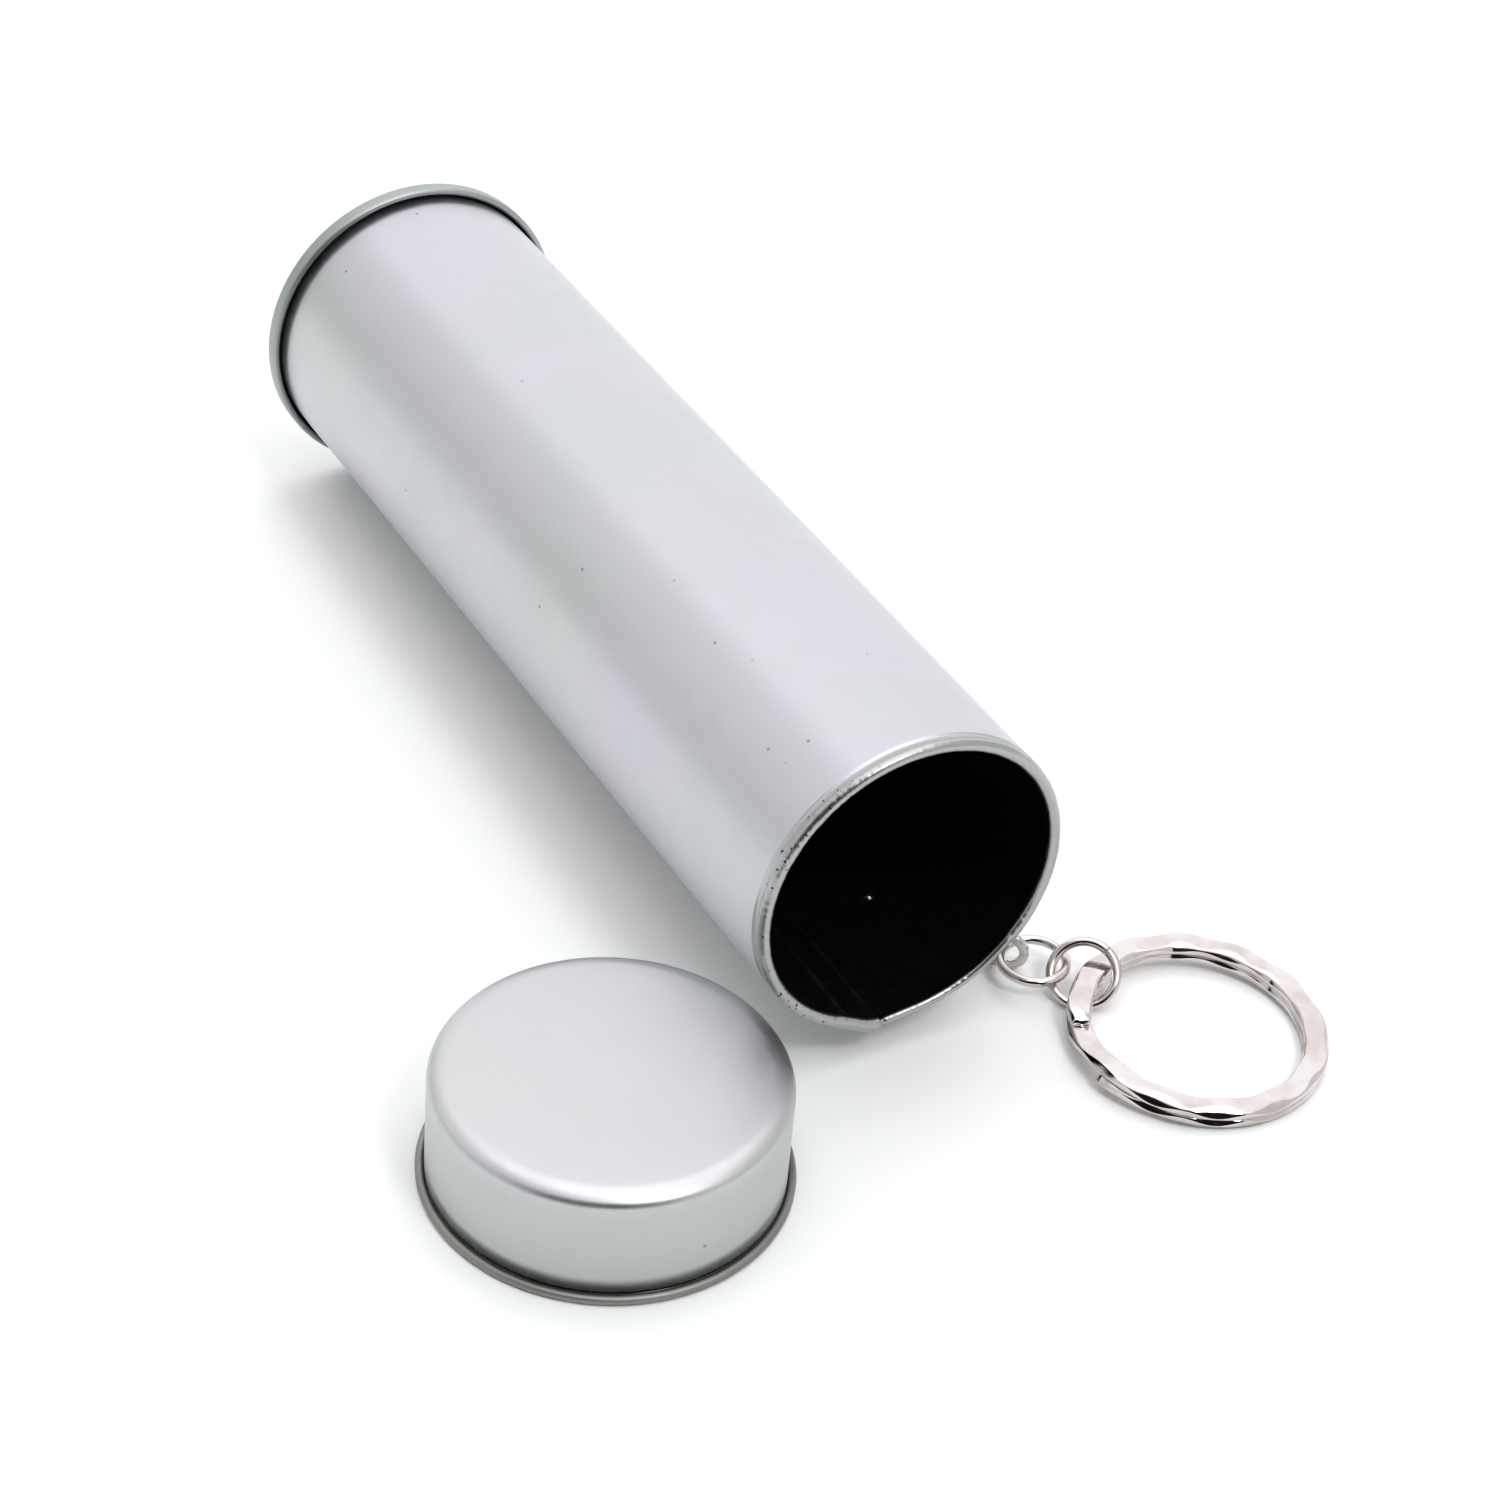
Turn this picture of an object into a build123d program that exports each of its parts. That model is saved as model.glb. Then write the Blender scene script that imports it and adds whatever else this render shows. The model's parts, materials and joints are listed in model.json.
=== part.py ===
from build123d import *
import os
from math import asin, atan2, cos, degrees, pi, radians, sin

# A slip-lid tin tube on a key ring, lying on a flat surface with its lid off beside it.
# Millimetres, +Z up. The mouth of the tube points along +X and the surface is at Z = 0.
# The origin is on the surface, under the middle of the whole part's box.

# Driving dimensions: the tube and its lid
TUBE_RADIUS = 16.0
TUBE_LENGTH = 112.0
SHEET = 0.3
MOUTH_BEAD_RADIUS = 0.65
END_RIM_RADIUS = 17.0
END_RIM_DEPTH = 1.9
END_RECESS = 1.5
END_GROOVE = 0.45
END_RIM_FILLET = 0.4
LID_HEIGHT = 12.0
LID_FIT_GAP = 0.08
LID_EDGE_ACROSS = 2.4
LID_EDGE_DOWN = 1.0
LID_CURL_RADIUS = 0.5
ASSEMBLY_GAP = 0.02
DRILL_LENGTH = 4.0

# Driving dimensions: the key ring and its chain
RIVET_SHANK_RADIUS = 0.8
RIVET_HEAD_RADIUS = 1.5
RIVET_HEAD_HEIGHT = 0.7
RIVET_HEAD_FILLET = 0.3
RIVET_DOME_GAP = 0.12
HANGER_WIDTH = 4.2
HANGER_SHEET = 0.6
HANGER_HOLE_RADIUS = 1.2
HANGER_FLAT_REACH = 2.6
WIRE_RADIUS = 0.475
SMALL_RING_RADIUS = 3.2
KEY_RING_RADIUS = 12.6
KEY_RING_BAND = 2.4
KEY_RING_TURN = 0.85
KEY_RING_TURN_GAP = 0.05
KEY_RING_EDGE_RADIUS = 0.3
KEY_RING_LIFT = 1.46

# Where the pieces lie
MOUTH_X = 44.54
AXIS_Y = 4.95
MOUTH_HEIGHT = 19.5
RIVET_DEPTH = 17.2
RIVET_ANGLE = 21.0
LID_PLACE = (3.45, -32.2)
HOLE_PLACE = (-6.0, 16.0)
FLAT_RING_PLACE = (-3.3, 17.2, 2.4)
JUMP_RING_PLACE = (0.4, 20.6)
JUMP_RING_TURN = 43.0
JUMP_RING_LEAN = 50.7
KEY_RING_PLACE = (10.6, 27.1)
KEY_RING_UPPER_END = 248.0
KEY_RING_LOWER_END = 279.0


def beside_mouth(x, y, z=0.0):
    """A point given from the spot on the surface straight below the middle of the mouth."""
    return Vector(MOUTH_X + x, AXIS_Y + y, z)


# The tube rests on its end rim and, near the mouth, on the hanger, so its axis rises to the mouth.
PITCH = asin((MOUTH_HEIGHT - END_RIM_RADIUS) / TUBE_LENGTH)
mouth = beside_mouth(0, 0, MOUTH_HEIGHT)
tube_place = Location(mouth) * Location((0, 0, 0), (0, -degrees(PITCH), 0))
axis_dir = Vector(cos(PITCH), 0, sin(PITCH))


def revolved(profile):
    """A profile drawn in the XZ plane, with X along the axis and Z as the radius, turned round X."""
    return revolve(profile, Axis.X)


def block(along, radius):
    """A rectangle of a profile, from its two lengths along the axis and its two radii."""
    low, high = along
    inner, outer = radius
    centre = Pos((low + high) / 2, (inner + outer) / 2)
    return Plane.XZ * (centre * Rectangle(high - low, outer - inner))


def disc(along, radius, size):
    """A round bead of a profile."""
    return Plane.XZ * (Pos(along, radius) * Circle(size))


def tube_body():
    """The rolled sheet tube, with the bead that is rolled inwards round its mouth."""
    bead = disc(-MOUTH_BEAD_RADIUS, TUBE_RADIUS - MOUTH_BEAD_RADIUS, MOUTH_BEAD_RADIUS)
    far = -TUBE_LENGTH + 2 * SHEET
    wall = block((far, -MOUTH_BEAD_RADIUS), (TUBE_RADIUS - SHEET, TUBE_RADIUS))
    shell = revolved(wall + bead)
    rivet_hole = rivet_place * Cylinder(RIVET_SHANK_RADIUS + ASSEMBLY_GAP, DRILL_LENGTH)
    return tube_place * shell - rivet_hole


def bottom_end():
    """The pressed end: its rim stands round the far end of the tube, with a groove between them."""
    far = -TUBE_LENGTH
    plug = TUBE_RADIUS - SHEET - ASSEMBLY_GAP
    rim = block((far, far + END_RIM_DEPTH), (TUBE_RADIUS + END_GROOVE, END_RIM_RADIUS))
    channel = block((far, far + SHEET), (plug - SHEET, END_RIM_RADIUS))
    wall = block((far, far + END_RECESS + SHEET), (plug - SHEET, plug))
    floor = block((far + END_RECESS, far + END_RECESS + SHEET), (0, plug))
    solid = revolved(rim + channel + wall + floor)
    outer = solid.edges().filter_by(GeomType.CIRCLE)
    outer = [e for e in outer if abs(e.radius - END_RIM_RADIUS) < 0.01]
    return tube_place * fillet(outer, END_RIM_FILLET)


def lid():
    """The drawn lid: a flat top, a softly rounded edge, a plain skirt and a curl at the open rim."""
    inner = TUBE_RADIUS + LID_FIT_GAP
    outer = inner + SHEET
    flat = outer - LID_EDGE_ACROSS
    under = LID_HEIGHT - LID_EDGE_DOWN
    corner = (under, flat)
    outside = EllipticalCenterArc(corner, LID_EDGE_DOWN, LID_EDGE_ACROSS, arc_size=90)
    radii = (LID_EDGE_DOWN - SHEET, LID_EDGE_ACROSS - SHEET)
    inside = EllipticalCenterArc(corner, *radii, arc_size=90)
    skirt = Polyline((under, outer), (LID_CURL_RADIUS, outer), (LID_CURL_RADIUS, inner), (under, inner))
    top = Polyline(
        (LID_HEIGHT, flat), (LID_HEIGHT, 0), (LID_HEIGHT - SHEET, 0), (LID_HEIGHT - SHEET, flat)
    )
    shell = revolved(Plane.XZ * make_face(outside + skirt + inside + top))
    curl = disc(LID_CURL_RADIUS, outer + LID_CURL_RADIUS - SHEET / 2, LID_CURL_RADIUS)
    upright = Location(beside_mouth(*LID_PLACE)) * Location((0, 0, 0), (0, -90, 0))
    return upright * (shell + revolved(curl))


# The rivet goes through the underside of the tube, on the key ring's side.
wall_out = Vector(0, sin(radians(RIVET_ANGLE)), -cos(radians(RIVET_ANGLE)))
on_axis = mouth - axis_dir * RIVET_DEPTH
wall_out = (wall_out - axis_dir * wall_out.dot(axis_dir)).normalized()
rivet_point = on_axis + wall_out * TUBE_RADIUS
rivet_place = Plane(origin=rivet_point, x_dir=axis_dir, z_dir=wall_out).location


def rivet():
    """The rivet: a domed head inside the tube, the shank and a flat head under the hanger."""
    inside = -SHEET - ASSEMBLY_GAP
    outside = HANGER_SHEET + 2 * ASSEMBLY_GAP
    under_dome = inside - RIVET_DOME_GAP
    shank = Pos(0, 0, (inside + outside) / 2) * Cylinder(RIVET_SHANK_RADIUS, outside - inside)
    dome_radius = (RIVET_HEAD_RADIUS**2 + RIVET_HEAD_HEIGHT**2) / (2 * RIVET_HEAD_HEIGHT)
    dome = Pos(0, 0, inside + dome_radius - RIVET_HEAD_HEIGHT) * Sphere(dome_radius)
    dome &= Pos(0, 0, under_dome - DRILL_LENGTH / 2) * Cylinder(RIVET_HEAD_RADIUS, DRILL_LENGTH)
    neck = Pos(0, 0, inside - RIVET_DOME_GAP) * Cylinder(RIVET_SHANK_RADIUS, 2 * RIVET_DOME_GAP)
    head = Pos(0, 0, outside + RIVET_HEAD_HEIGHT / 2) * Cylinder(RIVET_HEAD_RADIUS, RIVET_HEAD_HEIGHT)
    rim = head.edges().filter_by(GeomType.CIRCLE).sort_by(Axis.Z)[-1]
    return rivet_place * (shank + dome + neck + fillet(rim, RIVET_HEAD_FILLET))


# The hanger leaves the rivet towards the chain and stands on edge at its hole.
hanger_hole = beside_mouth(*HOLE_PLACE, HANGER_WIDTH / 2)
reach = hanger_hole - rivet_point
hanger_dir = Vector(reach.X, reach.Y, 0).normalized()
hanger_side = Vector(-hanger_dir.Y, hanger_dir.X, 0)
base_dir = (hanger_dir - wall_out * hanger_dir.dot(wall_out)).normalized()


def hanger():
    """The hanger: a strap riveted flat to the tube, given a quarter twist and punched at its end."""
    centre = rivet_point + wall_out * (HANGER_SHEET / 2 + ASSEMBLY_GAP)
    base_plane = Plane(origin=centre, x_dir=base_dir, z_dir=wall_out)
    base = Box(HANGER_FLAT_REACH, HANGER_WIDTH, HANGER_SHEET, align=(Align.MIN, Align.CENTER, Align.CENTER))
    base += Cylinder(HANGER_WIDTH / 2, HANGER_SHEET)
    base -= Cylinder(RIVET_SHANK_RADIUS + ASSEMBLY_GAP, DRILL_LENGTH)
    base = base_plane.location * base

    start = centre + base_dir * HANGER_FLAT_REACH
    end = hanger_hole - hanger_dir * HANGER_FLAT_REACH
    flat_width = wall_out.cross(base_dir).normalized()
    upright_width = Vector(0, 0, 1)
    steps = 6
    sections = []
    for step in range(steps + 1):
        share = step / steps
        ease = share * share * (3 - 2 * share)
        along = (base_dir * (1 - ease) + hanger_dir * ease).normalized()
        twist_angle = ease * pi / 2
        width = flat_width * cos(twist_angle) + upright_width * sin(twist_angle)
        width = (width - along * width.dot(along)).normalized()
        sink = (start.Z - end.Z) * (1 - (1 - share) ** 2)
        flat_run = Vector(end.X - start.X, end.Y - start.Y, 0) * share
        middle = Vector(start.X, start.Y, start.Z - sink) + flat_run
        plane = Plane(origin=middle, x_dir=width, z_dir=along)
        sections.append(plane * Rectangle(HANGER_WIDTH, HANGER_SHEET))
    twist = loft(sections)

    tip_plane = Plane(origin=end, x_dir=hanger_dir, z_dir=hanger_side)
    run = Box(HANGER_FLAT_REACH, HANGER_WIDTH, HANGER_SHEET, align=(Align.MIN, Align.CENTER, Align.CENTER))
    run += Pos(HANGER_FLAT_REACH, 0, 0) * Cylinder(HANGER_WIDTH / 2, HANGER_SHEET)
    run -= Pos(HANGER_FLAT_REACH, 0, 0) * Cylinder(HANGER_HOLE_RADIUS, DRILL_LENGTH)
    return base + twist + tip_plane.location * run


def flat_ring():
    """The first small ring, which goes through the hanger's hole."""
    return Location(beside_mouth(*FLAT_RING_PLACE)) * Torus(SMALL_RING_RADIUS, WIRE_RADIUS)


# The second small ring leans back and stands on the surface.
lean = radians(JUMP_RING_LEAN)
turn = radians(JUMP_RING_TURN)
jump_ring_normal = Vector(sin(turn) * cos(lean), -cos(turn) * cos(lean), sin(lean))
jump_ring_middle = beside_mouth(*JUMP_RING_PLACE, WIRE_RADIUS + SMALL_RING_RADIUS * cos(lean))


def jump_ring():
    """The second small ring, which links the first one to the key ring."""
    level = (cos(turn), sin(turn), 0)
    plane = Plane(origin=jump_ring_middle, x_dir=level, z_dir=jump_ring_normal)
    return plane.location * Torus(SMALL_RING_RADIUS, WIRE_RADIUS)


# The key ring lies with the far side on the surface and the near side on the jump ring's wire.
to_chain = beside_mouth(*JUMP_RING_PLACE) - beside_mouth(*KEY_RING_PLACE)
to_chain = to_chain.normalized()
key_ring_slope = asin(KEY_RING_LIFT / (2 * KEY_RING_RADIUS))
key_ring_x = to_chain * cos(key_ring_slope) + Vector(0, 0, sin(key_ring_slope))
key_ring_side = Vector(-to_chain.Y, to_chain.X, 0)
key_ring_normal = key_ring_x.cross(key_ring_side)
key_ring_base = beside_mouth(*KEY_RING_PLACE, KEY_RING_LIFT / 2)
key_ring_frame = Plane(origin=key_ring_base, x_dir=key_ring_x, z_dir=key_ring_normal)


def turn_face(angle, height):
    """The band's cross-section at an angle round the key ring."""
    spoke = Vector(cos(angle), sin(angle), 0)
    round_dir = Vector(-sin(angle), cos(angle), 0)
    middle = spoke * (KEY_RING_RADIUS - KEY_RING_BAND / 2) + Vector(0, 0, height)
    plane = Plane(origin=middle, x_dir=spoke, z_dir=round_dir)
    return plane * RectangleRounded(KEY_RING_BAND, KEY_RING_TURN, KEY_RING_EDGE_RADIUS)


def split_ring():
    """The key ring: a flat wire wound twice round, which steps down between its two ends."""
    low = KEY_RING_TURN / 2
    high = KEY_RING_TURN * 1.5 + KEY_RING_TURN_GAP
    chain_side = atan2(to_chain.Y, to_chain.X)
    upper_end = radians(KEY_RING_UPPER_END) - chain_side
    lower_end = radians(KEY_RING_LOWER_END) - chain_side
    full_turn = 360 - (KEY_RING_LOWER_END - KEY_RING_UPPER_END)
    upper = revolve(turn_face(lower_end, high), Axis.Z, full_turn)
    lower = revolve(turn_face(upper_end, low), Axis.Z, -full_turn)
    rungs = 4
    faces = []
    for rung in range(rungs + 1):
        share = rung / rungs
        angle = lower_end + (upper_end - lower_end) * share
        faces.append(turn_face(angle, high + (low - high) * share))
    return key_ring_frame.location * (upper + lower + loft(faces))


NODES = {
    "tube_body": tube_body,
    "bottom_end": bottom_end,
    "lid": lid,
    "rivet": rivet,
    "hanger": hanger,
    "flat_ring": flat_ring,
    "jump_ring": jump_ring,
    "split_ring": split_ring,
}

os.makedirs("parts", exist_ok=True)
shapes = {}
for name, make in NODES.items():
    shapes[name] = make()
    export_step(shapes[name], f"parts/{name}.step")

box = Compound(children=list(shapes.values())).bounding_box()
print("box", [round(v, 2) for v in (*box.min, *box.max)])
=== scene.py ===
import json
import math

import bmesh
import bpy
from mathutils import Matrix, Vector, noise


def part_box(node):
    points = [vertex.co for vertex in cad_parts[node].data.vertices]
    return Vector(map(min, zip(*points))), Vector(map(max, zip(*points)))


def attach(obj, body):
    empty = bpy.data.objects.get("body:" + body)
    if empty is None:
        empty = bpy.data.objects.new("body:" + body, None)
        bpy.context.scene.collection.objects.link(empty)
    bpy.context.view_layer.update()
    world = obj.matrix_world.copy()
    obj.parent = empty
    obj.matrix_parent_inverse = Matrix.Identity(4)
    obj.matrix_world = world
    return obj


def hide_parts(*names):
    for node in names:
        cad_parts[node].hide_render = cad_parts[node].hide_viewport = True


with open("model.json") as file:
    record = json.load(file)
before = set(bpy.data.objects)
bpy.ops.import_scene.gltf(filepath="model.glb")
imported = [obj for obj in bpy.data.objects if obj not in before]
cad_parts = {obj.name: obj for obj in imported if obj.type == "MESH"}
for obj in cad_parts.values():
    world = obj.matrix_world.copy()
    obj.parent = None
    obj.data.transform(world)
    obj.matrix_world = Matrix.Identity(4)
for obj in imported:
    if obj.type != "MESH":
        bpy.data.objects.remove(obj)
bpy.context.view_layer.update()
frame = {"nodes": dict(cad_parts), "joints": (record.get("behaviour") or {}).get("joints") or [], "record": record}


# ---- Tube body ----
# The can body is tinplate of 0.3 mm, rolled round and locked along a side seam under the tube.
# Its mouth is rolled inwards to a bead. The outside is satin, and the inside is lacquered black.

MM = 0.001
SHEET = 0.3 * MM
BEAD = 0.65 * MM  # radius of the rolled bead
tube_low, tube_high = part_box("tube_body")
end_low, end_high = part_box("bottom_end")
end_middle = (end_low + end_high) / 2
TUBE_RADIUS = (tube_high.y - tube_low.y) / 2
END_RADIUS = (end_high.y - end_low.y) / 2

# The rivet and the hanger under the tube prop its mouth up a little. The tube's own frame has its
# origin in the middle of the mouth, and its X axis points out of the mouth.
bead_height = tube_high.z - TUBE_RADIUS
pitch = math.atan2(bead_height - end_middle.z, tube_high.x - BEAD - end_middle.x)
along = Vector((math.cos(pitch), 0, math.sin(pitch)))
bead_x = tube_high.x - BEAD - (TUBE_RADIUS - BEAD) * math.sin(pitch)
mouth = Vector((bead_x, end_middle.y, bead_height)) + along * BEAD
tube_place = Matrix.Translation(mouth) @ Matrix.Rotation(-pitch, 4, "Y")
TUBE_LENGTH = (mouth.x - end_low.x - END_RADIUS * math.sin(pitch)) / math.cos(pitch)


def arc(middle, radius, start, end, steps):
    """Points of (along, radius) on a round stretch of an outline. Angles are degrees from +X."""
    points = []
    for step in range(steps + 1):
        angle = math.radians(start + (end - start) * step / steps)
        points.append((middle[0] + radius * math.cos(angle), middle[1] + radius * math.sin(angle)))
    return points


def stretch(start, end, steps):
    """Evenly spaced points on a straight stretch of an outline, without its last one."""
    share = [step / steps for step in range(steps)]
    return [(start[0] + (end[0] - start[0]) * s, start[1] + (end[1] - start[1]) * s) for s in share]


def spun(outline, steps, closed=True):
    """An outline of (along, radius) points, turned once round the X axis."""
    bm = bmesh.new()
    ring = [bm.verts.new((x, 0, -r)) for x, r in outline]
    edges = [bm.edges.new(pair) for pair in zip(ring, ring[1:])]
    if closed:
        edges.append(bm.edges.new((ring[-1], ring[0])))
    turn = {"cent": (0, 0, 0), "axis": (1, 0, 0), "angle": 2 * math.pi}
    bmesh.ops.spin(bm, geom=ring + edges, steps=steps, use_merge=True, **turn)
    bmesh.ops.remove_doubles(bm, verts=bm.verts, dist=0.0001 * MM)
    bmesh.ops.recalc_face_normals(bm, faces=bm.faces)
    return bm


def piece(name, bm, place, body, node, materials):
    """Puts a finished mesh in its place, and lets it stand for a node of the frame."""
    bmesh.ops.transform(bm, matrix=place, verts=bm.verts)
    mesh = bpy.data.meshes.new(name)
    bm.to_mesh(mesh)
    bm.free()
    for material in materials:
        mesh.materials.append(material)
    mesh.shade_smooth()
    made = bpy.data.objects.new(name, mesh)
    bpy.context.scene.collection.objects.link(made)
    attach(made, body)
    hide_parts(node)


def linear(colour):
    """The linear value of an sRGB hex colour, for a shader socket."""
    channels = [int(colour[i : i + 2], 16) / 255 for i in (1, 3, 5)]
    return [c / 12.92 if c <= 0.04045 else ((c + 0.055) / 1.055) ** 2.4 for c in channels] + [1]


def add_node(material, kind, inputs=None, **settings):
    """Adds a node, with values or links for its inputs and its own settings."""
    made = material.node_tree.nodes.new("ShaderNode" + kind)
    for name, value in settings.items():
        setattr(made, name, value)
    for name, value in (inputs or {}).items():
        if isinstance(value, bpy.types.NodeSocket):
            material.node_tree.links.new(value, made.inputs[name])
        else:
            made.inputs[name].default_value = value
    return made


def new_material(name):
    """A material with an empty node tree."""
    material = bpy.data.materials.new(name)
    material.use_nodes = True
    material.node_tree.nodes.clear()
    return material


def finish_material(material, shader):
    """Joins a shader to the material's surface."""
    add_node(material, "OutputMaterial", {"Surface": shader.outputs["BSDF"]})
    return material


def local_vector(material, place, scale=(1, 1, 1)):
    """Coordinates in a piece's own frame, in metres, multiplied by a scale."""
    back = place.inverted()
    source = add_node(material, "TexCoord").outputs["Object"]
    turned = {"Vector": source, "Location": back.translation, "Rotation": back.to_euler()}
    own = add_node(material, "Mapping", turned).outputs["Vector"]
    return add_node(material, "Mapping", {"Vector": own, "Scale": scale}).outputs["Vector"]


def threshold(material, value, low, high):
    """Zero below low, one above high, and smooth between them."""
    limits = {"Value": value, "From Min": low, "From Max": high}
    return add_node(material, "MapRange", limits, interpolation_type="SMOOTHSTEP").outputs[0]


def mixed(material, factor, first, second):
    """A mix of two colours, each a hex value or a socket. A Mix node keeps its colours at 6 and 7."""
    made = add_node(material, "Mix", {"Factor": factor}, data_type="RGBA")
    for socket, value in ((made.inputs[6], first), (made.inputs[7], second)):
        if isinstance(value, bpy.types.NodeSocket):
            material.node_tree.links.new(value, socket)
        else:
            socket.default_value = linear(value)
    return made.outputs[2]


def satin_tinplate(name, place, tint, shade, roughness, grain, skirt_shade_span=None):
    """Matt-rolled tinplate: a dull sheet, faintly streaked by the rolls, with a few pits and rubs.

    Grain is how many streaks a metre holds each way. Between the two heights given for the skirt, the sheet turns
    from a greyer skirt, which is painted shade, to the plain sheet above it.
    """
    material = new_material(name)
    broad = add_node(
        material, "TexNoise", {"Vector": local_vector(material, place), "Scale": 45, "Detail": 3}
    )
    colour = mixed(material, threshold(material, broad.outputs[0], 0.35, 0.65), tint, shade)
    if skirt_shade_span:
        # Painted shade: below the given heights the skirt is mixed towards a greyer colour.
        own = add_node(material, "SeparateXYZ", {"Vector": local_vector(material, place)})
        colour = mixed(material, threshold(material, own.outputs["X"], *skirt_shade_span), "#b8bcba", colour)

    # Pits are up to 0.4 mm across, about one to every three square centimetres.
    pits = add_node(material, "TexVoronoi", {"Vector": local_vector(material, place), "Scale": 400})
    chosen = add_node(material, "SeparateColor", {"Color": pits.outputs["Color"]}).outputs[0]
    spot = threshold(material, pits.outputs["Distance"], 0.09, 0.05)
    rare = threshold(material, chosen, 0.86, 0.87)
    pit = add_node(material, "Math", {0: spot, 1: rare}, operation="MULTIPLY").outputs[0]
    faint = add_node(material, "Math", {0: pit, 1: 0.6}, operation="MULTIPLY").outputs[0]
    colour = mixed(material, faint, colour, "#55585a")

    # The rolls leave lines about 0.15 mm apart, drawn here at 0.3 mm so that they show.
    lines = add_node(
        material, "TexNoise", {"Vector": local_vector(material, place, grain), "Scale": 1, "Detail": 4}
    )
    rubs = add_node(material, "TexNoise", {"Vector": local_vector(material, place), "Scale": 300})
    wear = add_node(material, "Math", {0: lines.outputs[0], 1: rubs.outputs[0]}, operation="ADD")
    spread = {"Value": wear.outputs[0], "From Min": 0.6, "From Max": 1.4}
    spread.update({"To Min": roughness - 0.05, "To Max": roughness + 0.05})
    rough = add_node(material, "MapRange", spread).outputs[0]
    relief = add_node(
        material, "Math", {0: lines.outputs[0], 1: pit}, operation="SUBTRACT"
    ).outputs[0]
    bump = add_node(material, "Bump", {"Height": relief, "Strength": 0.12, "Distance": 0.03 * MM})
    shader = add_node(
        material,
        "BsdfPrincipled",
        {
            "Base Color": colour,
            "Roughness": rough,
            "Metallic": 1.0,
            "Normal": bump.outputs["Normal"],
        },
    )
    return finish_material(material, shader)


def black_lacquer_and_shade(name, place, tint="#0a0b0a", shade="#121312"):
    """Stoved black lacquer: glossy, with the faint orange peel of a sprayed coat. It also paints the shade in the
    end's groove and the lid's crevice.
    """
    material = new_material(name)
    peel = add_node(
        material, "TexNoise", {"Vector": local_vector(material, place), "Scale": 900, "Detail": 2}
    )
    bump = add_node(
        material, "Bump", {"Height": peel.outputs[0], "Strength": 0.1, "Distance": 0.02 * MM}
    )
    dust = threshold(material, peel.outputs[0], 0.3, 0.8)
    shader = add_node(
        material,
        "BsdfPrincipled",
        {
            "Base Color": mixed(material, dust, tint, shade),
            "Roughness": 0.1,
            "IOR": 1.5,
            "Normal": bump.outputs["Normal"],
        },
    )
    return finish_material(material, shader)


def worn_edge(name, place, tint, wear_from, wear_to):
    """Bare rolled tinplate edge: brighter than the sheet, chipped and grimy where it is handled."""
    material = new_material(name)
    vector = local_vector(material, place)
    chips = add_node(material, "TexNoise", {"Vector": vector, "Scale": 2200, "Detail": 3})
    side = add_node(material, "SeparateXYZ", {"Vector": vector}).outputs["Y"]
    handled = threshold(material, side, wear_from, wear_to)
    chip = threshold(material, chips.outputs[0], 0.62, 0.68)
    grime = add_node(material, "Math", {0: chip, 1: handled}, operation="MULTIPLY").outputs[0]
    bump = add_node(
        material, "Bump", {"Height": chips.outputs[0], "Strength": 0.25, "Distance": 0.05 * MM}
    )
    spread = {"Value": grime, "To Min": 0.3, "To Max": 0.7}
    shader = add_node(
        material,
        "BsdfPrincipled",
        {
            "Base Color": mixed(material, grime, tint, "#33322f"),
            "Roughness": add_node(material, "MapRange", spread).outputs[0],
            "Metallic": 1.0,
            "Normal": bump.outputs["Normal"],
        },
    )
    return finish_material(material, shader)


rivet_joint = next(j for j in frame["joints"] if j["name"] == "hanger_swivel")
rivet_point = Vector(rivet_joint["pos_m"])
rivet_axis = Vector(rivet_joint["axis"])
rivet_local = tube_place.inverted() @ rivet_point

# The seam's places are degrees round the tube from straight down, and grow towards +Y. The lap
# thickens the bead before the seam's edge, and a notch and a thinner stretch follow it.
SEAM_FROM, SEAM_TO = -17.5, -6.5
LAP_FROM, THIN_TO = -26.0, 50.0
GROOVE = 0.14 * MM  # depth of the neck behind the bead
WALL_SAG = 0.03 * MM  # how uneven the wall is
RIDGE = 0.55 * MM  # how far the seam stands out at the mouth
RIDGE_FADE = 30 * MM  # and where that ends
BOSS = 0.3 * MM  # how far the wall is drawn in round the rivet


def bell(value, middle, width):
    """One at the middle, falling to zero over about twice the width."""
    return math.exp(-(((value - middle) / width) ** 2))


def step_between(value, low, high, ramp):
    """One between two values, and zero outside them."""
    up = min(max((value - low) / ramp + 0.5, 0), 1)
    down = min(max((high - value) / ramp + 0.5, 0), 1)
    return up * down


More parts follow.
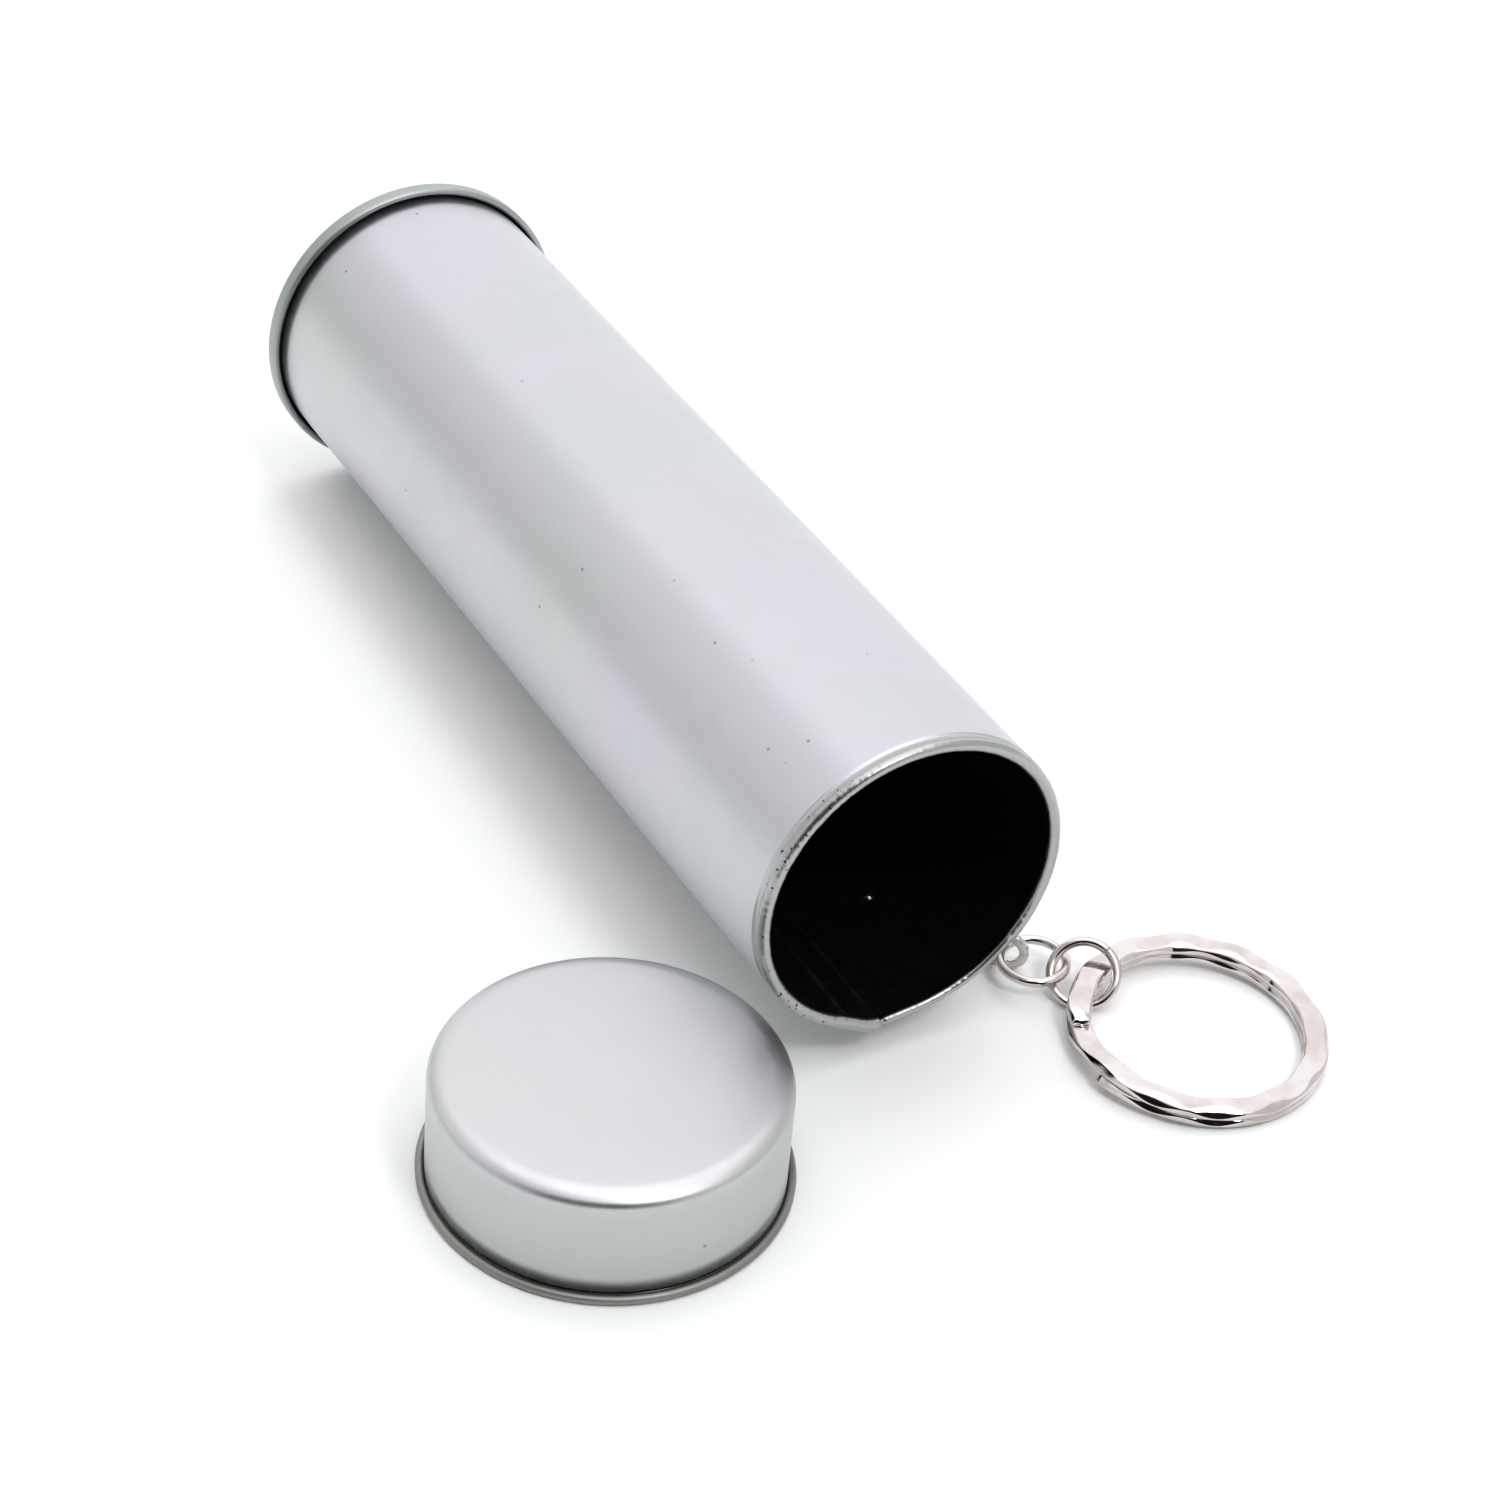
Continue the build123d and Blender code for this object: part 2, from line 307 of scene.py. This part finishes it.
def shape_tube(bm):
    """Gives the plain turned shell its seam, its uneven bead and the slight unevenness of thin sheet."""
    bead_middle = (-BEAD, TUBE_RADIUS - BEAD)
    for vert in bm.verts:
        x, y, z = vert.co
        radius = math.hypot(y, z)
        angle = math.degrees(math.atan2(y, -z))
        round_dir = Vector((0, y, z)).normalized()
        uneven = noise.noise(Vector((x * 40, angle / 40, 3)))
        if x > -2.05 * BEAD:
            # The bead waves a little, swells over the lap, and is nicked and thinner beyond it.
            size = 0.94 + 0.06 * noise.noise(Vector((angle / 7, 1, 0)))
            size += 0.05 * noise.noise(Vector((angle / 1.5, 5, 0)))
            size += 0.16 * step_between(angle, LAP_FROM, SEAM_TO, 1.5)
            size -= 0.24 * step_between(angle, SEAM_TO, THIN_TO, 2)
            size -= 0.5 * bell(angle, SEAM_TO, 0.8)
            x = bead_middle[0] + (x - bead_middle[0]) * min(size, 1)
            radius = bead_middle[1] + (radius - bead_middle[1]) * size
            radius = min(radius, TUBE_RADIUS)
        elif radius < TUBE_RADIUS - SHEET / 2:
            # Inside, the seam's folded sheet stands in from the wall.
            radius -= 0.2 * MM * step_between(angle, SEAM_FROM, SEAM_TO, 0.8)
        else:
            # Outside, the fold leaves a fine crease along each edge of the seam.
            radius -= 0.09 * MM * (bell(angle, SEAM_TO, 0.5) + bell(angle, SEAM_FROM, 0.5))
        if x < -3.5 * BEAD:
            radius += WALL_SAG * uneven - WALL_SAG
        # Towards the mouth the wall swells out over the seam, and round the rivet it is drawn in.
        ridge = bell(angle, SEAM_TO - 3, 9) * (1 if angle < SEAM_TO else 0.75)
        radius += RIDGE * ridge * min(max(1 + x / RIDGE_FADE, 0), 1)
        reach = (vert.co - rivet_local).length
        radius -= BOSS * bell(reach, 2.2 * MM, 0.6 * MM)
        vert.co = Vector((x, 0, 0)) + round_dir * radius


def tube_shell():
    """The tube's outline, turned and shaped, with its faces sorted into sheet, bead and lacquer."""
    far = -TUBE_LENGTH + 2 * SHEET
    inner = TUBE_RADIUS - SHEET
    bead_middle = (-BEAD, TUBE_RADIUS - BEAD)
    outline = stretch((far, TUBE_RADIUS), (-3.8 * BEAD, TUBE_RADIUS), 38)
    # Close points here keep the wall's shading plain right up to the neck.
    outline += [(-3.8 * BEAD, TUBE_RADIUS), (-2.7 * BEAD, TUBE_RADIUS), (-2.6 * BEAD, TUBE_RADIUS)]
    outline += [(-2.4 * BEAD, TUBE_RADIUS - 0.8 * GROOVE), (-2.15 * BEAD, TUBE_RADIUS - GROOVE)]
    outline += arc(bead_middle, BEAD, 125, -213, 26)
    outline += stretch((-2.2 * BEAD, inner), (far, inner), 30) + [(far, inner)]
    bm = spun(outline, 600)
    shape_tube(bm)
    for face in bm.faces:
        middle = face.calc_center_median()
        radius = math.hypot(middle.y, middle.z)
        inwards = face.normal.dot(Vector((0, middle.y, middle.z))) < 0
        if middle.x > -2.15 * BEAD and (middle.x > -BEAD or radius > TUBE_RADIUS - BEAD):
            face.material_index = 1
        elif inwards:
            angle = math.degrees(math.atan2(middle.y, -middle.z))
            near_seam = min(abs(angle - SEAM_FROM), abs(angle - SEAM_TO)) < 0.7
            face.material_index = 3 if near_seam else 2
    return bm


ROLLED_GRAIN = (90, 3200, 3200)

piece(
    "tube_shell",
    tube_shell(),
    tube_place,
    "tube",
    "tube_body",
    [
        # The sheet has broad soft reflections, a little bluer in some places than in others.
        satin_tinplate("satin_rolled_tinplate", tube_place, "#c0c0c6", "#bdc0c0", 0.36, ROLLED_GRAIN),
        # The bead is bare metal, and its chips and grime are on the side that is picked up.
        worn_edge("bare_rolled_bead", tube_place, "#a9aba9", -3 * MM, -9 * MM),
        # The lacquer is deep black, and shows only the brightest lights.
        black_lacquer_and_shade("stoved_black_lacquer", tube_place),
        # Along the seam's two edges it is coloured a lighter dark grey, which shows the fold as faint streaks.
        black_lacquer_and_shade("lacquer_grey_at_the_seam", tube_place, "#151516", "#222224"),
    ],
)


# ---- Bottom end ----
# The closed end is pressed from the same tinplate: a recessed disc, and a rim that is folded back
# over the tube. A narrow groove is left between the rim and the tube, and its faces are painted black as shade.

RIM_DEPTH = 1.9 * MM  # length of the folded rim along the tube
RIM_GROOVE = 0.22 * MM
RECESS = 1.5 * MM


def end_shell():
    """The end's outline, with a rounded fold, turned round the tube's axis."""
    far = -TUBE_LENGTH
    plug = TUBE_RADIUS - SHEET - 0.02 * MM
    fold = (END_RADIUS - TUBE_RADIUS - RIM_GROOVE) / 2
    front = far + RIM_DEPTH - fold
    corner = 0.4 * MM
    # The disc has a shallow step near its edge, and its wall comes up to the fold.
    outline = [(far + RECESS, 0)]
    outline += stretch((far + RECESS, 4 * MM), (far + RECESS, plug - 2 * MM), 5)
    outline += [(far + RECESS - 0.25 * MM, plug - 1.6 * MM), (far + RECESS - 0.25 * MM, plug - 1 * MM)]
    outline += arc((far + RECESS - corner, plug - SHEET - corner), corner, 0, 90, 5)
    outline += arc((far + SHEET, plug), SHEET, 200, 180, 2)
    outline += arc((far + corner, END_RADIUS - corner), corner, 180, 90, 6)
    outline += arc((front, END_RADIUS - fold), fold, 90, -90, 8)
    outline += arc((far + SHEET + 0.2 * MM, TUBE_RADIUS + RIM_GROOVE - 0.2 * MM), 0.2 * MM, 90, 180, 3)
    outline += [(far + SHEET, plug), (far + RECESS + SHEET, plug), (far + RECESS + SHEET, 0)]
    bm = spun(outline, 360, closed=False)
    # Painted shade: the faces inside the groove between the rim and the tube take the black second material.
    for face in bm.faces:
        middle = face.calc_center_median()
        radius = math.hypot(middle.y, middle.z)
        if middle.x > far + SHEET / 2 and TUBE_RADIUS - SHEET < radius < TUBE_RADIUS + 0.8 * RIM_GROOVE:
            face.material_index = 1
    return bm


piece(
    "end_disc",
    end_shell(),
    tube_place,
    "tube",
    "bottom_end",
    [
        # Pressing has left this sheet duller and darker than the tube's.
        satin_tinplate("satin_pressed_end", tube_place, "#a3a8a6", "#989e9c", 0.42, ROLLED_GRAIN),
        # The groove's faces are painted black as the shade deep in it, so it reads as a black line.
        black_lacquer_and_shade("groove_painted_shade", tube_place),
    ],
)


# ---- Rivet ----
# A steel rivet goes through the underside of the tube. Its domed head inside is lacquered over
# with the tube, and its flat head outside holds the hanger and is bright.

RIVET_HEAD = 1.5 * MM
RIVET_DOME = 0.7 * MM
RIVET_SHANK = 0.8 * MM
HANGER_SHEET = 0.6 * MM
FIT = 0.02 * MM

# The rivet's own X axis is the one that the hanger turns on, and points into the tube.
rivet_place = Matrix.Translation(rivet_point) @ rivet_axis.to_track_quat("X", "Z").to_matrix().to_4x4()


def rivet_shell():
    """The rivet's outline, from the middle of the dome to the middle of the outer head."""
    under_dome = SHEET + FIT
    edge = 0.1 * MM
    outer = -HANGER_SHEET - 2 * FIT
    dome = (RIVET_HEAD**2 + RIVET_DOME**2) / (2 * RIVET_DOME)
    half = math.degrees(math.asin((RIVET_HEAD - edge) / dome))
    outline = arc((under_dome + RIVET_DOME - dome, 0), dome, 0, half, 14)
    outline += [(under_dome + 0.6 * edge, RIVET_HEAD), (under_dome, RIVET_HEAD)]
    outline += [(under_dome, RIVET_SHANK), (outer, RIVET_SHANK)]
    outline += arc((outer - 0.1 * MM, RIVET_HEAD - 0.1 * MM), 0.1 * MM, 0, 90, 2)
    outline += arc((outer - RIVET_DOME + 0.3 * MM, RIVET_HEAD - 0.3 * MM), 0.3 * MM, 90, 180, 5)
    outline += [(outer - RIVET_DOME, 0)]
    bm = spun(outline, 96, closed=False)
    for face in bm.faces:
        face.material_index = 0 if face.calc_center_median().x > 0 else 1
    return bm


def bright_nickel(name, tint, roughness):
    """Nickel plate over steel: bright and a little warm, with fine polishing marks."""
    material = new_material(name)
    source = add_node(material, "TexCoord").outputs["Object"]
    marks = add_node(material, "TexNoise", {"Vector": source, "Scale": 1400, "Detail": 3})
    cloud = add_node(material, "TexNoise", {"Vector": source, "Scale": 260, "Detail": 2})
    spread = {"Value": marks.outputs[0], "To Min": roughness - 0.05, "To Max": roughness + 0.07}
    spread.update({"From Min": 0.3, "From Max": 0.7})
    bump = add_node(
        material, "Bump", {"Height": marks.outputs[0], "Strength": 0.12, "Distance": 0.02 * MM}
    )
    blotch = threshold(material, cloud.outputs[0], 0.4, 0.7)
    shader = add_node(
        material,
        "BsdfPrincipled",
        {
            "Base Color": mixed(material, blotch, tint, "#c6beb9"),
            "Roughness": add_node(material, "MapRange", spread).outputs[0],
            "Metallic": 1.0,
            "Normal": bump.outputs["Normal"],
        },
    )
    return finish_material(material, shader)


piece(
    "rivet_pin",
    rivet_shell(),
    rivet_place,
    "tube",
    "rivet",
    [
        # The dome took the tube's lacquer, and has one small hard highlight.
        black_lacquer_and_shade("lacquered_rivet", rivet_place),
        # The outer head kept its plate.
        bright_nickel("plated_rivet", "#cfcdca", 0.2),
    ],
)


# ---- Hanger ----
# The hanger is a strap of plated steel, punched at both ends and given a quarter twist, so that
# it lies flat under the rivet's head and stands on edge where the first ring goes through it.

STRAP_EDGE = 0.08 * MM


def strap_mesh():
    """A merged copy of the strap's solid, with its punched edges tumbled round."""
    bm = bmesh.new()
    bm.from_mesh(frame["nodes"]["hanger"].data)
    bmesh.ops.remove_doubles(bm, verts=bm.verts, dist=0.0005 * MM)
    bmesh.ops.dissolve_limit(bm, angle_limit=math.radians(0.5), verts=bm.verts, edges=bm.edges)
    sharp = [e for e in bm.edges if len(e.link_faces) == 2 and e.calc_face_angle() > math.radians(50)]
    shape = {"offset_type": "OFFSET", "segments": 2, "profile": 0.5, "affect": "EDGES", "material": -1}
    bmesh.ops.bevel(bm, geom=sharp, offset=STRAP_EDGE, clamp_overlap=True, **shape)
    return bm


# The strap's plate is a little dulled, so that it looks greyer than the rings.
strap_plate = bright_nickel("plated_strap", "#c6c9c3", 0.24)
piece("hanger_strap", strap_mesh(), Matrix.Identity(4), "hanger", "hanger", [strap_plate])


# ---- Small rings ----
# Each small ring is round steel wire bent to a circle and plated, and its ends are butted with a
# fine slit between them. The first lies in the hanger's hole, and the second joins it to the key ring.

WIRE = 0.475 * MM
RING_RADIUS = 3.2 * MM
SLIT_DEGREES = 1.4


def wire_ring(slit_at):
    """A wire circle in the XY plane, turned round Z, with closed ends at its slit."""
    bm = bmesh.new()
    flat = {"segments": 28, "radius": WIRE, "cap_ends": True}
    upright = Matrix.Translation((RING_RADIUS, 0, 0)) @ Matrix.Rotation(math.pi / 2, 4, "X")
    bmesh.ops.create_circle(bm, matrix=Matrix.Rotation(slit_at, 4, "Z") @ upright, **flat)
    turn = math.radians(360 - SLIT_DEGREES)
    centre = {"cent": (0, 0, 0), "axis": (0, 0, 1), "angle": turn}
    bmesh.ops.spin(bm, geom=bm.faces[:], steps=150, **centre)
    bmesh.ops.remove_doubles(bm, verts=bm.verts, dist=0.0001 * MM)
    bmesh.ops.recalc_face_normals(bm, faces=bm.faces)
    return bm


JUMP_TURN = math.radians(43)
JUMP_LEAN = math.radians(50.7)

# Drawn wire plates smoothly, so the rings mirror the lights and the dark card in hard streaks.
nickel_wire = bright_nickel("bright_nickel_wire", "#cdc5c0", 0.13)

flat_low, flat_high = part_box("flat_ring")
jump_low, jump_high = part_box("jump_ring")
flat_place = Matrix.Translation((flat_low + flat_high) / 2)
lean = Matrix.Rotation(JUMP_TURN, 4, "Z") @ Matrix.Rotation(math.pi / 2 - JUMP_LEAN, 4, "X")
jump_place = Matrix.Translation((jump_low + jump_high) / 2) @ lean
for name, node, place, slit_at in (
    ("first_link", "flat_ring", flat_place, math.radians(100)),
    ("second_link", "jump_ring", jump_place, math.radians(60)),
):
    piece(name, wire_ring(slit_at), place, node, node, [nickel_wire])


# ---- Key ring ----
# The key ring is flat spring wire wound twice round and nickel-plated. Its edges are dimpled by
# rolling, so that its faces run in shallow waves, and the wire steps down between its two ends.

key_mount = next(m for m in frame["record"]["mounts"] if m["name"] == "key_ring")
key_axis = Vector(key_mount["axis"])
KEY_RADIUS = 12.6 * MM
KEY_BAND = 2.4 * MM  # width of the band
KEY_TURN = 0.85 * MM  # thickness of one turn
KEY_GAP = 0.05 * MM
KEY_UPPER_END = 248  # degrees round the ring
KEY_LOWER_END = 279
WAVES = 13
END_TAPER = 7  # degrees
END_SPRUNG = 0.35 * MM


def band_section(angle):
    """The band's cross-section as (outwards, upwards) points; its corners are rolled off in waves.

    Both upper corners are cut back by a facet that deepens and fades as the band goes round, the
    inner one less than the outer one and a third of a wave behind it.
    """
    wave = 0.5 + 0.5 * math.cos(math.radians(angle) * WAVES)
    other = 0.5 + 0.5 * math.cos(math.radians(angle) * WAVES + 2.2)
    half, up = KEY_BAND / 2, KEY_TURN / 2
    outer = 0.25 + 0.75 * wave
    inner = 0.3 + 0.45 * other
    small = 0.14 * MM
    facet_in, facet_down = 0.42 * MM, 0.62 * MM
    return [
        (half, -up + small),
        (half, up - facet_down * outer),
        (half - 0.07 * facet_in * outer, up - 0.93 * facet_down * outer),
        (half - 0.9 * facet_in * outer, up - 0.1 * facet_down * outer),
        (half - facet_in * outer - small / 2, up),
        (-half + facet_in * inner + small / 2, up),
        (-half + 0.9 * facet_in * inner, up - 0.1 * facet_down * inner),
        (-half + 0.07 * facet_in * inner, up - 0.93 * facet_down * inner),
        (-half, up - facet_down * inner),
        (-half, -up + small),
        (-half + small, -up),
        (half - small, -up),
    ]


def key_ring_mesh():
    """The band, carried round by extruding its section a degree and a half at a time."""
    bm = bmesh.new()
    total = 720 - (KEY_LOWER_END - KEY_UPPER_END)
    full_turn = 360 - (KEY_LOWER_END - KEY_UPPER_END)
    stations = round(total / 1.5)
    rise = KEY_TURN + KEY_GAP
    loop = None
    for station in range(stations + 1):
        travelled = total * station / stations
        climb = min(max((travelled - full_turn) / (360 - full_turn), 0), 1)
        height = KEY_TURN / 2 + rise * climb * climb * (3 - 2 * climb)
        angle = math.radians(KEY_LOWER_END + travelled)
        spoke = Vector((math.cos(angle), math.sin(angle), 0))
        sprung = END_SPRUNG * max(1 - travelled / 30, 0)
        middle = spoke * (KEY_RADIUS - KEY_BAND / 2 + sprung) + Vector((0, 0, height))
        tip = min(total - travelled, END_TAPER) / END_TAPER
        narrow, thin = 0.7 + 0.3 * tip, 0.55 + 0.45 * math.sqrt(tip)
        points = [
            middle + spoke * out * narrow + Vector((0, 0, up * thin - KEY_TURN * (1 - thin) / 2))
            for out, up in band_section(travelled)
        ]
        if loop is None:
            loop = bm.faces.new([bm.verts.new(p) for p in points])
            edges = loop.edges[:]
            ring = loop.verts[:]
            continue
        made = bmesh.ops.extrude_edge_only(bm, edges=edges)["geom"]
        edges = [g for g in made if isinstance(g, bmesh.types.BMEdge) and not g.link_faces[1:]]
        fresh = {v for e in edges for v in e.verts}
        after = [next(e.other_vert(v) for e in v.link_edges if e.other_vert(v) in fresh) for v in ring]
        for vert, point in zip(after, points):
            vert.co = point
        ring = after
    bm.faces.new(ring)
    bmesh.ops.recalc_face_normals(bm, faces=bm.faces)
    return bm


# The ring lies on the surface, and its axis leans as that of the opening does.
key_middle = Vector(key_mount["pos_m"]) - key_axis * (KEY_TURN + KEY_GAP / 2)
level = Vector((0, 0, 1)).rotation_difference(key_axis).to_matrix().to_4x4()
key_place = Matrix.Translation(key_middle) @ level

# The band is polished before it is plated, and is the brightest metal on the object.
band_nickel = bright_nickel("bright_nickel_band", "#d8d2d1", 0.09)
piece(
    "key_ring_band",
    key_ring_mesh(),
    key_place,
    "split_ring",
    "split_ring",
    [band_nickel],
)


# ---- Lid ----
# The lid is drawn from one disc of tinplate: a flat top with a soft edge, a plain skirt, and an
# open rim that is curled outwards. The sheet is satin, and the curl is rough where it was trimmed.

lid_low, lid_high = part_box("lid")
lid_middle = (lid_low + lid_high) / 2
LID_HEIGHT = lid_high.z
LID_FIT = 0.08 * MM  # gap between the closed lid and the tube
LID_INNER = TUBE_RADIUS + LID_FIT
LID_CURL = 0.45 * MM  # radius of the curl
CREVICE = 1.05 * MM  # height of the crevice above the curl, whose faces are painted black as shade
EDGE_ACROSS = 2.1 * MM  # the soft edge is a quarter of an ellipse
EDGE_DOWN = 1.35 * MM


def lid_shell():
    """The lid's outline, turned round its axis, with the faces of its curl sorted out."""
    outer = LID_INNER + SHEET
    rim = (lid_high.x - lid_low.x) / 2
    curl = (LID_CURL, rim - LID_CURL)
    touch = math.degrees(math.asin((curl[1] - outer + 0.02 * MM) / LID_CURL))
    flat = outer - EDGE_ACROSS
    under = LID_HEIGHT - EDGE_DOWN

    def soft_edge(down, across, start, end):
        """A quarter of an ellipse between the top and the skirt."""
        points = []
        for step in range(15):
            angle = math.radians(start + (end - start) * step / 14)
            points.append((under + down * math.cos(angle), flat + across * math.sin(angle)))
        return points

    outline = [(LID_HEIGHT, 0)] + stretch((LID_HEIGHT, 2 * MM), (LID_HEIGHT, flat), 8)
    outline += soft_edge(EDGE_DOWN, EDGE_ACROSS, 0, 90)
    outline += stretch((under, outer), (CREVICE, outer), 6)[1:] + [(CREVICE, outer)]
    outline += [(CREVICE - 0.05 * MM, outer - 0.1 * MM)]
    outline += arc(curl, LID_CURL, -touch, 180, 20)
    outline += arc((0.2 * MM, LID_INNER + 0.2 * MM), 0.2 * MM, 180, 270, 4)
    outline += stretch((0.5 * MM, LID_INNER), (under, LID_INNER), 6)[1:]
    outline += soft_edge(EDGE_DOWN - SHEET, EDGE_ACROSS - SHEET, 90, 0)
    outline += [(LID_HEIGHT - SHEET, 0)]
    bm = spun(outline, 480, closed=False)
    # The curl is a little uneven all round, and the top isn't quite flat.
    for vert in bm.verts:
        x, y, z = vert.co
        radius = math.hypot(y, z)
        angle = math.atan2(y, z)
        if radius > outer + 0.05 * MM:
            uneven = noise.noise(Vector((math.cos(angle) * 9, math.sin(angle) * 9, 7)))
            push = 0.03 * MM * uneven - 0.02 * MM
            vert.co += Vector((0, y, z)).normalized() * push
        elif x > LID_HEIGHT - 2 * SHEET:
            vert.co.x -= 0.02 * MM * (1 + noise.noise(Vector((y * 110, z * 110, 2))))
    # The curl is bare, and the whole inside is black lacquer; the crevice above the curl is black as painted
    # shade.
    for face in bm.faces:
        middle = face.calc_center_median()
        radius = math.hypot(middle.y, middle.z)
        if middle.x < 2.1 * LID_CURL and radius > outer + 0.04 * MM:
            face.material_index = 1
        # Painted shade: the skirt's faces in the crevice above the curl take the black lining.
        elif 0.3 * MM < middle.x < CREVICE and outer - 0.12 * MM < radius:
            face.material_index = 2
        elif face.normal.dot(Vector((0, middle.y, middle.z))) < 0 and radius < outer:
            face.material_index = 2
        elif face.normal.x < -0.5 and radius < outer and middle.x > 1 * MM:
            face.material_index = 2
    return bm


lid_base = Vector((lid_middle.x, lid_middle.y, lid_low.z))
lid_place = Matrix.Translation(lid_base) @ Matrix.Rotation(-math.pi / 2, 4, "Y")
piece(
    "lid_shell",
    lid_shell(),
    lid_place,
    "lid",
    "lid",
    [
        # The top is as pale as the tube, with its streaks all one way, and the skirt is painted greyer as shade.
        satin_tinplate(
            "satin_drawn_tinplate_with_painted_skirt_shade",
            lid_place,
            "#c0c0c4",
            "#bec0bf",
            0.4,
            (3200, 3200, 90),
            skirt_shade_span=(LID_HEIGHT - 3 * MM, LID_HEIGHT),
        ),
        # The trimmed edge is dull and dark, with no direction to its marks.
        satin_tinplate("rough_trimmed_curl", lid_place, "#989894", "#868682", 0.5, (900, 900, 900)),
        # The lining is the tube's own lacquer, and the same black is painted shade in the crevice above the curl.
        black_lacquer_and_shade("lid_lining_lacquer_and_crevice_shade", lid_place),
    ],
)


# ---- Studio ----
# A plain pale floor, large soft lights all round, and a dark card on the camera's side, which the
# bright metal needs to show its form.

def stage_plane(name, size, place, material, shown):
    """A flat panel that isn't part of the object."""
    bm = bmesh.new()
    bmesh.ops.create_grid(bm, x_segments=1, y_segments=1, size=0.5)
    bmesh.ops.scale(bm, vec=(size[0], size[1], 1), verts=bm.verts)
    bmesh.ops.transform(bm, matrix=place, verts=bm.verts)
    mesh = bpy.data.meshes.new(name)
    bm.to_mesh(mesh)
    bm.free()
    mesh.materials.append(material)
    made = bpy.data.objects.new(name, mesh)
    bpy.context.scene.collection.objects.link(made)
    made.visible_camera = shown


def plain(name, colour, roughness):
    """A plain matt surface."""
    material = new_material(name)
    look = {"Base Color": linear(colour), "Roughness": roughness, "Specular IOR Level": 0.1}
    return finish_material(material, add_node(material, "BsdfPrincipled", look))


def facing(position, target):
    """A placement at a position, with its -Z axis towards a target."""
    turn = (Vector(target) - Vector(position)).to_track_quat("-Z", "Y").to_matrix().to_4x4()
    return Matrix.Translation(position) @ turn


def soft_light(name, direction, distance, size, radiance, colour):
    """A square soft box, aimed at the object from a direction.

    Its power comes from its radiance, how bright it looks in a mirror next to a world of strength 1.
    """
    lamp = bpy.data.lights.new(name, "AREA")
    lamp.shape = "SQUARE"
    lamp.size = size
    lamp.color = linear(colour)[:3]
    lamp.energy = math.pi * radiance * size * size
    made = bpy.data.objects.new(name, lamp)
    made.matrix_world = facing(Vector(direction).normalized() * distance, (0, 0, 0))
    made.visible_camera = False
    bpy.context.scene.collection.objects.link(made)


stage_plane("floor", (6, 6), Matrix.Identity(4), plain("pale_floor", "#f6f8f7", 0.9), True)

CAMERA_PLACE = Vector((262.36, -147.25, 235.34)) * MM
CAMERA_TARGET = Vector((-1.73, 14.38, 0)) * MM
CAMERA_ROLL = math.radians(5.147)

view = (CAMERA_PLACE - CAMERA_TARGET).normalized()
level_dir = Vector((view.x, view.y, 0)).normalized()
card_place = facing(CAMERA_TARGET + level_dir * 0.8 + Vector((0, 0, 0.4)), CAMERA_TARGET)
stage_plane("dark_card", (1.3, 0.86), card_place, plain("black_card", "#140c0b", 0.95), False)

soft_light("overhead", (0, 0.1, 1), 1.2, 1.2, 1.35, "#fbfaff")
soft_light("back_wall", (-0.8, 0.46, 0.5), 1.3, 1.8, 0.54, "#fbf9ff")
soft_light("left_wall", (-0.55, -0.45, 0.7), 1.3, 1.2, 0.28, "#fbf9ff")
soft_light("front_lamp", (0.6, 0.08, 0.8), 1.0, 0.2, 18, "#ffffff")

world = bpy.data.worlds.new("studio")
world.use_nodes = True
world.node_tree.nodes["Background"].inputs["Color"].default_value = linear("#ffffff")
world.node_tree.nodes["Background"].inputs["Strength"].default_value = 0.84
bpy.context.scene.world = world
bpy.context.scene.view_settings.view_transform = "Standard"

lens = bpy.data.cameras.new("camera")
lens.lens = 89.89
lens.sensor_width = 36
lens.clip_start = 0.01
camera = bpy.data.objects.new("camera", lens)
side = Vector((0, 0, 1)).cross(view).normalized()
over = view.cross(side)
tilted_side = side * math.cos(CAMERA_ROLL) + over * math.sin(CAMERA_ROLL)
tilted_over = over * math.cos(CAMERA_ROLL) - side * math.sin(CAMERA_ROLL)
turn = Matrix((tilted_side, tilted_over, view)).transposed().to_4x4()
camera.matrix_world = Matrix.Translation(CAMERA_PLACE) @ turn
bpy.context.scene.collection.objects.link(camera)
bpy.context.scene.camera = camera
